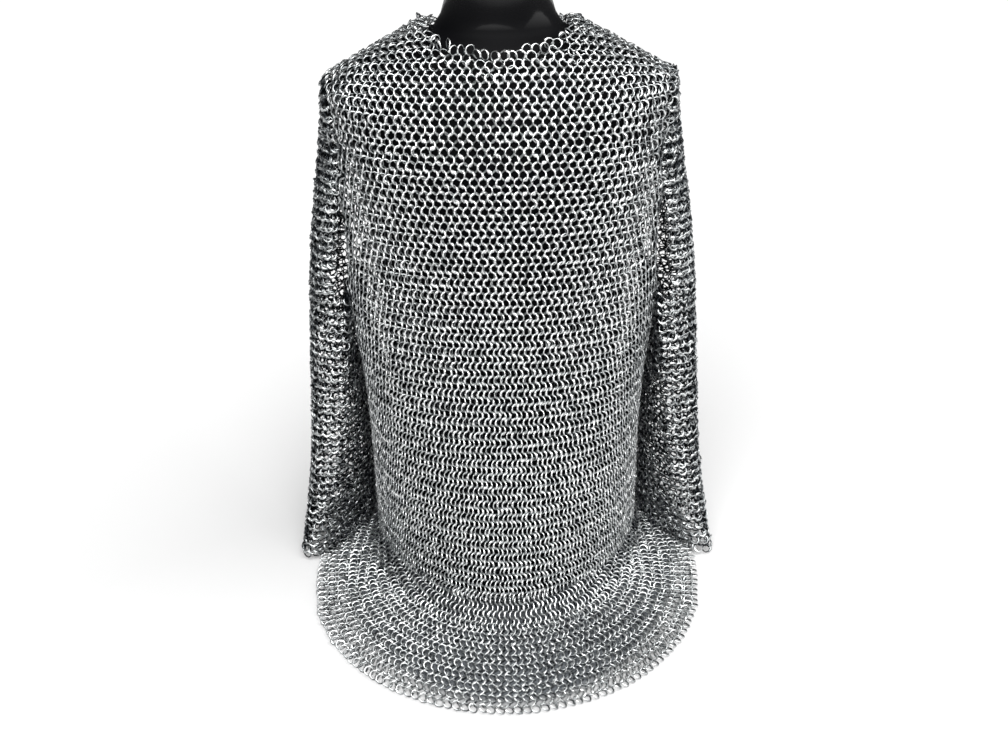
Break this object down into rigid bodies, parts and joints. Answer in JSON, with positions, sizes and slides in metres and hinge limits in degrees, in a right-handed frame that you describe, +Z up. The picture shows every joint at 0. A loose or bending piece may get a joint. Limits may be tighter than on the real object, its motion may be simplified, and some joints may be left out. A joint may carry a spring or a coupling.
{
  "type": "chainmail hauberk on dress form",
  "caption": "Long-sleeved mail shirt of linked steel rings, hanging on a limbless torso form and spreading on the surface below.",
  "frame": {"origin": "middle of the dress form's flat base", "axes": "+Z up, -Y the shirt's front, +X the sleeve on the right of a front view"},
  "size_m": [0.588, 0.63, 0.8003],
  "materials": {
    "dress_form": "high gloss",
    "neck_cap": "high gloss",
    "front_panel": "linked steel rings, worn bright",
    "back_panel": "linked steel rings, worn bright",
    "sleeve_left": "linked steel rings, worn bright",
    "sleeve_right": "linked steel rings, worn bright",
    "skirt_front": "linked steel rings, worn bright",
    "skirt_back": "linked steel rings, worn bright"
  },
  "bodies": {
    "root": {"dress_form": "dress_form", "neck_cap": "neck_cap", "front_panel": "front_panel", "back_panel": "back_panel", "sleeve_left": "sleeve_left", "sleeve_right": "sleeve_right", "skirt_front": "skirt_front", "skirt_back": "skirt_back"}
  },
  "joints": []
}
